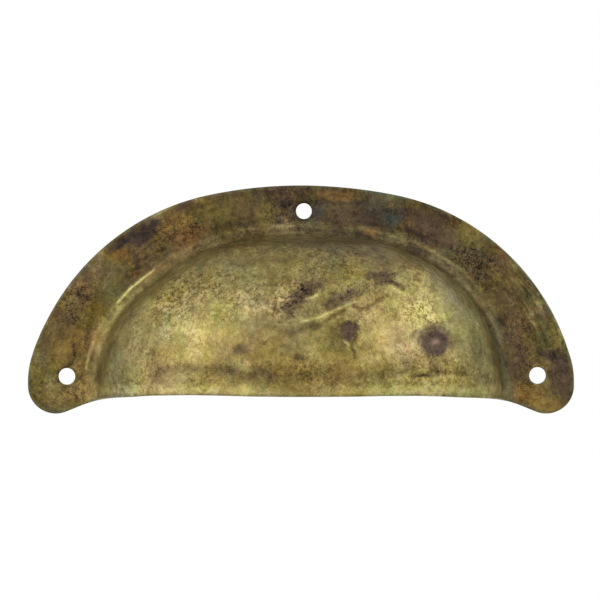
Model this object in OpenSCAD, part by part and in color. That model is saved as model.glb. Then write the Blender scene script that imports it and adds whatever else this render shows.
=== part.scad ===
// Cup pull for a drawer or cabinet door, pressed from one sheet of brass.
// A flat flange arches around a domed half cup that is open at the bottom for the fingers.
// Modelled as it is mounted: the flange's back lies on y = 0, the cup stands out towards -Y,
// +Z is up, and the origin is midway between the two side screws.

/* [Flange] */
// Width across the whole pull
pull_w = 100; // [92:1:112]
// Height of the crown above the line of the side screws
crown_h = 34.9; // [32:0.1:40]
// Drop from the line of the side screws to where the sides run straight up
spring_drop = 1; // [0:0.1:1.6]
// Radius of the long arc over the crown
crown_r = 82; // [76:1:110]
// Radius of the two shoulders
shoulder_r = 43; // [36:1:48]
// Radius of the two lower sides
side_r = 14.7; // [12:0.1:18]
// Width of the flange above the cup
flange_top_w = 7.8; // [7:0.1:10]
// Width of the flange beside the cup
flange_side_w = 10.6; // [10:0.1:13]
// Thickness of the sheet
sheet_t = 0.9; // [0.6:0.05:1.4]

/* [Tabs] */
// Drop from the line of the side screws to the bottom of the tabs
tab_drop = 7; // [6.5:0.1:10]
// Radius of each tab's rounded end
tab_r = 5.1; // [4:0.1:5.4]
// Slope of each tab's inner edge
tab_slope = 22; // [15:1:35]
// Radius of the hollow blend from each tab into the lip
blend_r = 20; // [8:1:24]

/* [Cup] */
// Depth from the back of the flange to the front of the dome
cup_depth = 21; // [17:0.5:27]
// Drop from the line of the side screws to the deepest point of the dome
dome_drop = 2; // [0.5:0.1:3]
// Drop from the line of the side screws to the lip's edge
lip_drop = 3.7; // [3:0.1:5]
// Width of the sloping band between the flange and the cup's wall
band_w = 1.6; // [1:0.1:2.4]
// Slope of that band
band_slope = 18; // [8:1:30]
// Height of the steep wall's top above the back of the flange
wall_h = 6; // [4:0.1:9]
// Lean of the steep wall
wall_draft = 8; // [4:1:14]

/* [Crease above the lip] */
// Height of the crease above the line of the side screws
crease_z = -0.1; // [-0.6:0.1:1.5]
// Width of the crease
crease_w = 1; // [0.6:0.1:1.6]
// Depth of the crease
crease_depth = 0.25; // [0.1:0.05:0.4]
// Length of the crease
crease_span = 57; // [40:1:60]

/* [Screw holes] */
// Diameter of the three screw holes
screw_d = 3.2; // [2.6:0.1:4]
// Distance from each side edge to its screw hole
side_inset = 7; // [5.5:0.1:8]
// Distance from the crown down to the top screw hole
top_inset = 4.7; // [3.8:0.1:5]

/* [Hidden] */
$fn = 144;
brass = "#7d7146";
// Overlap that lets a cut run clear of the faces it passes
clear = 1;
arc_steps = 12;
half_w = pull_w / 2;
// Semi-axes of the line where the cup leaves the flange
root_h = crown_h + dome_drop - flange_top_w;
root_w = half_w - flange_side_w;
wall_slope = 90 - wall_draft;
// Corners of the cup's section: distance from its axis, then height above the flange's back
root_corner = [root_h, sheet_t];
foot_corner = root_corner + band_w * [-1, tan(band_slope)];
wall_run = (wall_h - foot_corner.y) * tan(wall_draft);
dome_r = foot_corner.x - wall_run;
dome_rise = cup_depth - wall_h;
stretch = root_w / root_h;

// Points along an arc, angles in degrees anticlockwise from +X
function arc(centre, r, from, to) =
    [for (i = [0:arc_steps]) let (a = from + (to - from) * i / arc_steps)
        centre + r * [cos(a), sin(a)]];

// Where a circle around p meets a circle around q, on the left of the way from p to q
function meet(p, p_r, q, q_r) =
    let (d = norm(q - p), along = (q - p) / d,
        run = (d * d + p_r * p_r - q_r * q_r) / (2 * d),
        off = sqrt(p_r * p_r - run * run))
    p + run * along + off * [-along.y, along.x];

function heading(from, to) = atan2(to.y - from.y, to.x - from.x);

// The arch's three centres on the right: crown, side, and the shoulder that touches both
crown_c = [0, crown_h - crown_r];
side_c = [half_w - side_r, -spring_drop];
shoulder_c = meet(crown_c, crown_r - shoulder_r, side_c, shoulder_r - side_r);
shoulder_from = heading(shoulder_c, side_c);
shoulder_to = heading(crown_c, shoulder_c);

// The right tab's centre, and the corner where its inner edge would meet the lip
tab_c = [half_w - tab_r, tab_r - tab_drop];
tab_end = tab_c - tab_r * [sin(tab_slope), cos(tab_slope)];
lip_corner = [tab_end.x - (-lip_drop - tab_end.y) / tan(tab_slope), -lip_drop];
blend_c = lip_corner - [blend_r * tan(tab_slope / 2), blend_r];

// Right half of the flange's outline, from the lip round to the crown
right_side = concat(
    arc(blend_c, blend_r, 90, 90 - tab_slope),
    arc(tab_c, tab_r, -90 - tab_slope, 0),
    arc(side_c, side_r, 0, shoulder_from),
    arc(shoulder_c, shoulder_r, shoulder_from, shoulder_to),
    arc(crown_c, crown_r, shoulder_to, 90));

// A half outline on the right, closed with its mirror image on the left
function both_sides(right) =
    concat(right, [for (i = [len(right) - 1:-1:0]) if (right[i].x > 0) [-right[i].x, right[i].y]]);

// A prism of the outline, standing out from the back plane
module prism(depth) {
    rotate([90, 0, 0])
        linear_extrude(depth)
            polygon(both_sides(right_side));
}

// A corner between two faces with slopes a and b, moved back by s into the sheet
function inset(corner, a, b, s) =
    corner - s / cos((b - a) / 2) * [sin((a + b) / 2), cos((a + b) / 2)];

// Right half of the filled cup's section, its surface moved back by s.
// Depths are drawn lift times too long, so that the dome's part is a true circle.
module half_section(s, lift) {
    root = inset(root_corner, 0, band_slope, s);
    foot = inset(foot_corner, band_slope, wall_slope, s);
    wall_x = dome_r - s / sin(wall_slope) - clear * tan(wall_draft);
    corners = [[0, -clear], [root.x, -clear], root, foot, [wall_x, wall_h + clear], [0, wall_h + clear]];
    polygon([for (p = corners) [p.x, lift * p.y]]);
    intersection() {
        translate([0, lift * wall_h])
            circle(dome_r - s);
        square([root_h, lift * (cup_depth + clear)]);
    }
}

// Right half of the dome: a quarter of the section turned about its axis
module half_dome(s, lift) {
    rotate([90, 0, 0])
        intersection() {
            rotate_extrude()
                half_section(s, lift);
            translate([0, 0, -2 * lift * clear])
                cube([root_h + clear, root_h + clear, lift * (cup_depth + 4 * clear)]);
        }
}

// Right half of the cup's lower edge: the section carried straight down past the tabs
module half_skirt(s, lift) {
    drop = tab_drop - dome_drop + clear;
    translate([0, 0, -drop])
        linear_extrude(drop)
            mirror([0, 1])
                half_section(s, lift);
}

// The filled cup, wider than it is high, its surface moved back by s all round
module cup_form(s) {
    lift = (dome_r - s) / (dome_rise - s);
    widen = (dome_r * stretch - s) / (dome_r - s);
    for (side = [-1, 1])
        translate([0, 0, -dome_drop])
            scale([side * widen, 1 / lift, 1]) {
                half_dome(s, lift);
                half_skirt(s, lift);
            }
}

// The shallow crease that runs across the dome just above the lip
module crease() {
    difference() {
        translate([-crease_span / 2, -cup_depth - clear, crease_z - crease_w / 2])
            cube([crease_span, cup_depth, crease_w]);
        cup_form(crease_depth);
    }
}

module screw_hole(x, z) {
    translate([x, clear, z])
        rotate([90, 0, 0])
            cylinder(d = screw_d, h = sheet_t + 2 * clear);
}

module cup_handle() {
    color(brass)
        difference() {
            intersection() {
                prism(cup_depth + clear);
                union() {
                    translate([-pull_w, -sheet_t, -pull_w])
                        cube([2 * pull_w, sheet_t, 2 * pull_w]);
                    cup_form(0);
                }
            }
            cup_form(sheet_t);
            crease();
            screw_hole(-half_w + side_inset, 0);
            screw_hole(half_w - side_inset, 0);
            screw_hole(0, crown_h - top_inset);
        }
}

cup_handle();
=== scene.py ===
import math

import bpy
import numpy as np
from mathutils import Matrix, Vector
from mathutils.geometry import delaunay_2d_cdt


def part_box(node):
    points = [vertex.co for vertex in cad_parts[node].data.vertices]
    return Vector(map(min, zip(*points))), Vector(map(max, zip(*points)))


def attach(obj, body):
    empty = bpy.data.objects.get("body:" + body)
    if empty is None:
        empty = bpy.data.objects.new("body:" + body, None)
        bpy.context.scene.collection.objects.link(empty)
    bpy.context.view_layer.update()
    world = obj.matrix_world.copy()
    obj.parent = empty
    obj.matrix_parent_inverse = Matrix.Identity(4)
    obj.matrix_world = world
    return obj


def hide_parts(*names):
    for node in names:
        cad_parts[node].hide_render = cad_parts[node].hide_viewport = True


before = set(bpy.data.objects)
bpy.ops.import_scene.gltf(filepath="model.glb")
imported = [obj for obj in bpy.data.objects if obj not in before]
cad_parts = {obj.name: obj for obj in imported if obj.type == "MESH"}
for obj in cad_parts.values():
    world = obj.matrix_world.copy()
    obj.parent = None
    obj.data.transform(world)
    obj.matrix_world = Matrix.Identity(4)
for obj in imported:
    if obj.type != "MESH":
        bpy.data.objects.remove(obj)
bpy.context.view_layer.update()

# The pull is one piece of thin sheet brass: a flat flange that arches round a domed half cup.
# It is cut to outline with three screw holes punched through, then drawn over a punch, and its
# cut edges are dulled by hand. Three wood screws would hold its flange flat against a door.
MM = 0.001
corner_low, corner_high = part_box("cup_handle")
HALF_WIDTH = corner_high.x / MM
CROWN = corner_high.z / MM
TAB_DROP = -corner_low.z / MM
CUP_DEPTH = -corner_low.y / MM
SHEET = 0.9

# The outline is a long arc over the crown, a shoulder and a side on each half, and a tab with a
# rounded end whose sloping inner edge blends into the straight lip
SPRING_DROP = 1.0
CROWN_RADIUS = 82.0
SHOULDER_RADIUS = 43.0
SIDE_RADIUS = 14.7
TAB_RADIUS = 5.1
TAB_SLOPE = math.radians(22)
BLEND_RADIUS = 20.0
LIP_DROP = 3.7
QUARTER_TURN = math.pi / 2


def arc(centre, radius, start, end, spacing=0.25):
    """Points along an arc of the outline, angles in radians anticlockwise from +X."""
    count = max(3, int(abs(end - start) * radius / spacing))
    turn = np.linspace(start, end, count)
    return np.column_stack((centre[0] + radius * np.cos(turn), centre[1] + radius * np.sin(turn)))


def touching(p, p_radius, q, q_radius):
    """The left-hand point where a circle round p meets a circle round q."""
    p = np.array(p)
    q = np.array(q)
    gap = np.linalg.norm(q - p)
    along = (q - p) / gap
    run = (gap**2 + p_radius**2 - q_radius**2) / (2 * gap)
    off = math.sqrt(p_radius**2 - run**2)
    return p + run * along + off * np.array([-along[1], along[0]])


def heading(start, end):
    """The direction from one point to another, in radians from +X."""
    return math.atan2(end[1] - start[1], end[0] - start[0])


def sheet_outline():
    """The closed outline of the sheet, from the lip's middle round over the crown and back."""
    crown = (0.0, CROWN - CROWN_RADIUS)
    side = (HALF_WIDTH - SIDE_RADIUS, -SPRING_DROP)
    shoulder = touching(crown, CROWN_RADIUS - SHOULDER_RADIUS, side, SHOULDER_RADIUS - SIDE_RADIUS)
    tab = (HALF_WIDTH - TAB_RADIUS, TAB_RADIUS - TAB_DROP)
    tab_end = (tab[0] - TAB_RADIUS * math.sin(TAB_SLOPE), tab[1] - TAB_RADIUS * math.cos(TAB_SLOPE))
    lip_corner = tab_end[0] - (-LIP_DROP - tab_end[1]) / math.tan(TAB_SLOPE)
    blend = (lip_corner - BLEND_RADIUS * math.tan(TAB_SLOPE / 2), -LIP_DROP - BLEND_RADIUS)
    from_side = heading(shoulder, side)
    to_crown = heading(crown, shoulder)
    right = np.vstack(
        (
            arc(blend, BLEND_RADIUS, QUARTER_TURN, QUARTER_TURN - TAB_SLOPE),
            arc(tab, TAB_RADIUS, -QUARTER_TURN - TAB_SLOPE, 0),
            arc(side, SIDE_RADIUS, 0, from_side),
            arc(shoulder, SHOULDER_RADIUS, from_side, to_crown),
            arc(crown, CROWN_RADIUS, to_crown, QUARTER_TURN),
        )
    )
    left = right[::-1] * [-1, 1]
    return np.vstack((right, left, right[:1]))


def resampled(path, spacing, fine_step=0.02):
    """The path with points set along it by a spacing that may change from place to place."""
    run = np.concatenate(([0], np.cumsum(np.linalg.norm(np.diff(path, axis=0), axis=1))))
    keep = np.concatenate(([True], np.diff(run) > 1e-6))
    path = path[keep]
    run = run[keep]
    fine = np.arange(0, run[-1], fine_step)
    points = np.column_stack([np.interp(fine, run, path[:, i]) for i in range(2)])
    steps = np.cumsum(fine_step / spacing(points))
    count = int(steps[-1])
    at = np.interp(np.arange(count) * steps[-1] / count, steps, fine)
    return np.column_stack([np.interp(at, run, path[:, i]) for i in range(2)])


OUTLINE_STEP = 0.3
WALL_STEP_CUT = 0.24
WALL_FOOT_X = 36.9
BELOW_SCREWS = -2.0


def outline_spacing(points):
    """Close points where the lip climbs the cup's steep wall, wider ones elsewhere."""
    off_wall = np.abs(points[:, 0]) - WALL_FOOT_X
    on_wall = np.exp(-(off_wall**4)) * (points[:, 1] < BELOW_SCREWS)
    return OUTLINE_STEP - WALL_STEP_CUT * on_wall


# The edges were cut by hand: how far the lip strays up at places along it, and how far the rest
# strays outwards at angles round the arch, in degrees from its right side
LIP_EDGE = [
    (-39, 0), (-36, 0), (-34, -0.16), (-31.5, -0.12), (-27.5, 0.2), (-20, 0.33),
    (-14, 0.24), (-9, 0.1), (-2, 0.03), (5, 0.04), (10, 0.08), (15, 0.18),
    (21, 0.2), (25, 0.08), (29, -0.14), (33.5, -0.3), (36, -0.12), (39, 0),
]
CUT_EDGE = [
    (0, 0), (8, 0.08), (20, 0.12), (35, 0.14), (48, 0.08), (58, -0.02), (75, -0.12), (105, -0.09),
    (130, -0.11), (150, -0.16), (172, -0.16), (180, 0),
]
# The file eased the lip over this much to each side; the lip lies below this height; and the
# angles round the arch are taken from a point this high
LIP_EASE = 0.9
LIP_TOP = -2.5
ARCH_MIDDLE = 5


def lip_wave(x):
    """How far the lip's hand-filed edge runs above or below its straight line."""
    at, off = zip(*LIP_EDGE)
    return np.mean([np.interp(x + step, at, off) for step in (-LIP_EASE, 0.0, LIP_EASE)], axis=0)


def cut_wave(points):
    """How far the snipped outline runs outside its arcs, round from the right side to the left."""
    turn = np.degrees(np.arctan2(points[:, 1] - ARCH_MIDDLE, points[:, 0]))
    at, off = zip(*CUT_EDGE)
    return np.where(turn < -90, 0, np.interp(turn, at, off))


def side_normals(path):
    """Unit normals on the left of a closed path: its inner side, where it runs anticlockwise."""
    along = np.roll(path, -1, axis=0) - np.roll(path, 1, axis=0)
    along /= np.linalg.norm(along, axis=1)[:, None]
    return np.column_stack((-along[:, 1], along[:, 0]))


# The cup leaves the flange along half an ellipse, up a narrow sloping band to a steep wall, and
# closes in a dome; its height depends only on how far out from the cup's axis a place lies
DOME_DROP = 2.0
FLANGE_TOP = 7.8
FLANGE_SIDE = 10.6
ROOT_HALF_HEIGHT = CROWN + DOME_DROP - FLANGE_TOP
ROOT_HALF_WIDTH = HALF_WIDTH - FLANGE_SIDE
BAND = 1.6
BAND_SLOPE = math.radians(18)
WALL_TOP = 6.0
WALL_LEAN = math.radians(12)
ROOT_ROUNDING = 0.5
FOOT_ROUNDING = 2.0
# The press left that root line uneven: how much fuller than the ellipse it is, at which angle
# round the cup in degrees from its right end, and over how wide a stretch. The swelling sets
# in at a share of the way out from the cup's axis, and is whole one run further out.
ROOT_SWELLS = [(0.045, 55, 28), (0.02, 113, 14), (0.009, 158, 22), (-0.008, 5, 8)]
SWELL_FROM = 0.45
SWELL_RUN = 0.5


def swell(turn, share):
    """How much fuller than an ellipse the cup is at an angle, and at a share of the way out."""
    bulge = sum(much * np.exp(-(((turn - middle) / wide) ** 2)) for much, middle, wide in ROOT_SWELLS)
    blend = np.clip((share - SWELL_FROM) / SWELL_RUN, 0, 1)
    return 1 + bulge * blend * blend * (3 - 2 * blend)


def cup_reach(x, z):
    """How far out from the cup's axis a point of the sheet lies, as a height on its middle section."""
    up = np.maximum(z + DOME_DROP, 0) / ROOT_HALF_HEIGHT
    out = x / ROOT_HALF_WIDTH
    turn = np.degrees(np.arctan2(up, out))
    plain = np.hypot(out, up)
    share = plain
    for _ in range(10):
        share = plain / swell(turn, share)
    return share * ROOT_HALF_HEIGHT


def rounded(corners, radii, points=60):
    """A chain of straight runs with its corners rounded, as points set closely along it."""
    chain = [np.array(corners[0])]
    for before, corner, after, radius in zip(corners, corners[1:], corners[2:], radii):
        before, corner, after = (np.array(p, float) for p in (before, corner, after))
        back = (before - corner) / np.linalg.norm(before - corner)
        ahead = (after - corner) / np.linalg.norm(after - corner)
        half = math.acos(np.clip(back @ ahead, -1, 1)) / 2
        run = radius / math.tan(half)
        centre = corner + (back + ahead) / np.linalg.norm(back + ahead) * radius / math.sin(half)
        start = corner + back * run - centre
        end = corner + ahead * run - centre
        for share in np.linspace(0, 1, points):
            way = start * (1 - share) + end * share
            chain.append(centre + way / np.linalg.norm(way) * radius)
    chain.append(np.array(corners[-1]))
    return np.array(chain)


def cup_section(flange=6, dome_from=6, dome_points=400):
    """The drawn section from the flange in to the dome's middle: reach and height of the face."""
    foot = (ROOT_HALF_HEIGHT - BAND, SHEET + BAND * math.tan(BAND_SLOPE))
    dome_radius = foot[0] - (WALL_TOP - foot[1]) * math.tan(WALL_LEAN)
    dome_rise = CUP_DEPTH - WALL_TOP
    turn = np.radians(np.linspace(dome_from, 90, dome_points))
    dome = np.column_stack((dome_radius * np.cos(turn), WALL_TOP + dome_rise * np.sin(turn)))
    corners = [(ROOT_HALF_HEIGHT + flange, SHEET), (ROOT_HALF_HEIGHT, SHEET), foot, dome[0]]
    return np.vstack((rounded(corners, [ROOT_ROUNDING, FOOT_ROUNDING]), dome[1:]))


def cup_height(section, x, z):
    """Height of the drawn face over the door at a place on the blank."""
    return np.interp(-cup_reach(x, z), -section[:, 0], section[:, 1])


def face_normals(section, x, z, step=0.04):
    """Unit normals of the drawn face, towards the room."""
    across = (cup_height(section, x + step, z) - cup_height(section, x - step, z)) / (2 * step)
    up = (cup_height(section, x, z + step) - cup_height(section, x, z - step)) / (2 * step)
    normals = -np.column_stack((across, np.ones(len(x)), up))
    return normals / np.linalg.norm(normals, axis=1)[:, None]


# The blank is laid out flat: rows along every cut edge, rows round the cup, and an even field on
# the flange. Rows stand closer on the steep wall and round the section's two creases.
EDGE_ROWS = [0.0, 0.03, 0.09, 0.16, 0.25]
HOLE_POINTS = 44
FLANGE_STEP = 0.36
DOME_STEP = 0.34
CREASE_STEP_CUT = 0.22
CREASE_WIDTH = 0.4
# The rows at the inner crease stand closest this far before the wall's foot
FOOT_LEAD = 0.2
STEEP_FROM = 25.0
STEEP_PAST_ROOT = 0.2
# Rows keep this far from the last row along a cut edge, and the closest rows a little less
EDGE_GAP = 0.2
CLOSE_EDGE_GAP = 0.12
CLOSE_FROM = 25.5
# The outermost row lies this far outside the root; a row is longer than a half circle by this
# much; and the flange's rows are this many steps apart
PAST_ROOT = 0.5
ROW_STRETCH = 1.17
ROW_RISE = 0.866
# A face is punched out where its middle lies inside this share of a hole's radius
PUNCHED_SHARE = 0.995
# Points of the blank nearer than this are one point
SAME_POINT = 1e-5
# The holes were punched by eye: place of each, and its radius
HOLES = [
    ((-HALF_WIDTH + 7.13, -0.17), 1.52),
    ((HALF_WIDTH - 6.68, 0.0), 1.52),
    ((0.53, CROWN - 4.81), 1.44),
]


def row_spacing(points):
    """Close rows round the two creases of the section, wider ones elsewhere."""
    inside_root = ROOT_HALF_HEIGHT - points[:, 0]
    creases = sum(np.exp(-(((at - inside_root) / CREASE_WIDTH) ** 2)) for at in (0, BAND - FOOT_LEAD))
    return DOME_STEP - CREASE_STEP_CUT * np.minimum(creases, 1)


def row_points(reach, spacing):
    """One row round the cup at a given reach, with its two straight ends down to the tabs."""
    share = reach / ROOT_HALF_HEIGHT
    count = max(3, int(math.pi * reach * ROW_STRETCH / spacing))
    turn = np.linspace(0, math.pi, count)
    out = share * swell(np.degrees(turn), share)
    x = ROOT_HALF_WIDTH * out * np.cos(turn)
    z = ROOT_HALF_HEIGHT * out * np.sin(turn) - DOME_DROP
    down = np.arange(-DOME_DROP - spacing, -TAB_DROP, -spacing)
    right_end = np.column_stack((np.full(len(down), x[0]), down))[::-1]
    left_end = np.column_stack((np.full(len(down), x[-1]), down))
    return np.vstack((right_end, np.column_stack((x, z)), left_end))


def inside(points, polygon):
    """Which points lie inside a closed polygon."""
    found = np.zeros(len(points), bool)
    for (x0, z0), (x1, z1) in zip(polygon, np.roll(polygon, -1, axis=0)):
        if z0 != z1:
            crosses = (points[:, 1] > z0) != (points[:, 1] > z1)
            found ^= crosses & (points[:, 0] < x0 + (points[:, 1] - z0) / (z1 - z0) * (x1 - x0))
    return found


def nearest(points, path, at_once=100):
    """Distance from each point to the nearest point of a closely set path."""
    best = np.full(len(points), np.inf)
    for part in np.array_split(path, max(1, len(path) // at_once)):
        gaps = np.hypot(points[:, None, 0] - part[None, :, 0], points[:, None, 1] - part[None, :, 1])
        best = np.minimum(best, gaps.min(axis=1))
    return best


class Blank:
    """The flat blank: its points, each with its distance from a cut edge, and its joined rows."""

    def __init__(self):
        self.points = []
        self.edge = []
        self.chains = []
        self.count = 0

    def add(self, points, edge):
        """Adds points that all lie as far from a cut edge, and gives the first one's number."""
        start = self.count
        self.points.append(points)
        self.edge.append(np.full(len(points), edge))
        self.count += len(points)
        return start

    def add_ring(self, points, edge):
        """Adds a closed row, each point joined to the next."""
        at = self.add(points, edge) + np.arange(len(points))
        self.chains.append(np.column_stack((at, np.roll(at, -1))))


def lay_out_blank(section):
    """Sets rows along every cut edge and round the cup, fills in between, and joins them up."""
    blank = Blank()
    inner_row = EDGE_ROWS[-1]
    outline = resampled(sheet_outline(), outline_spacing)
    outline[:, 1] += np.where(outline[:, 1] < LIP_TOP, lip_wave(outline[:, 0]), 0)
    inward = side_normals(outline)
    outline -= inward * cut_wave(outline)[:, None]
    for edge in EDGE_ROWS:
        blank.add_ring(outline + inward * edge, edge)
    ring = np.linspace(0, 2 * math.pi, HOLE_POINTS, endpoint=False)
    circle = np.column_stack((np.cos(ring), np.sin(ring)))
    for centre, radius in HOLES:
        for edge in EDGE_ROWS:
            blank.add_ring(np.array(centre) + circle * (radius + edge), edge)
    edge_count = blank.count

    rim = outline + inward * inner_row
    close = np.vstack((rim, (rim + np.roll(rim, -1, axis=0)) / 2))

    def clear_of_edges(points, gap=EDGE_GAP):
        free = inside(points, rim) & (nearest(points, close) > gap)
        for centre, radius in HOLES:
            free &= np.hypot(*(points - centre).T) > radius + inner_row + gap
        return free

    rows = resampled(section, row_spacing)[:, 0]
    rows = rows[rows < ROOT_HALF_HEIGHT + PAST_ROOT]
    for number, reach in enumerate(rows):
        # Where rows lie evenly, every other one is set half a step along
        points = row_points(reach, DOME_STEP)
        steep = STEEP_FROM < reach < ROOT_HALF_HEIGHT + STEEP_PAST_ROOT
        if not steep and number % 2:
            points = (points + np.roll(points, -1, axis=0))[:-1] / 2
        free = clear_of_edges(points, CLOSE_EDGE_GAP if reach > CLOSE_FROM else EDGE_GAP)
        start = blank.add(points[free], inner_row)
        if steep:
            order = start + np.arange(np.count_nonzero(free))
            joined = np.diff(np.flatnonzero(free)) == 1
            blank.chains.append(np.column_stack((order[:-1], order[1:]))[joined])
    across = np.arange(-HALF_WIDTH, HALF_WIDTH, FLANGE_STEP)
    up = np.arange(-TAB_DROP, CROWN, FLANGE_STEP * ROW_RISE)
    field = np.array([(x + (i % 2) * FLANGE_STEP / 2, z) for i, z in enumerate(up) for x in across])
    field = field[cup_reach(field[:, 0], field[:, 1]) > rows[0] + EDGE_GAP]
    blank.add(field[clear_of_edges(field)], inner_row)

    pairs = [tuple(int(i) for i in pair) for chain in blank.chains for pair in chain]
    # Triangles fill the whole hull, and those outside the sheet or in a hole are waste
    places = [Vector(p) for p in np.vstack(blank.points)]
    made = delaunay_2d_cdt(places, pairs, [], 0, SAME_POINT)
    flat = np.array([tuple(v) for v in made[0]])
    source = np.array([found[0] if found else -1 for found in made[3]])
    faces = np.array(made[2])
    edge = np.where(source >= 0, np.concatenate(blank.edge)[source], inner_row)
    on_edge = (source >= 0) & (source < edge_count)
    middle = flat[faces].mean(axis=1)
    waste = np.zeros(len(faces), bool)
    doubtful = np.flatnonzero(on_edge[faces].all(axis=1))
    waste[doubtful] = ~inside(middle[doubtful], outline)
    for centre, radius in HOLES:
        waste |= np.hypot(*(middle - centre).T) < radius * PUNCHED_SHARE
    return flat, faces[~waste], edge


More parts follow.
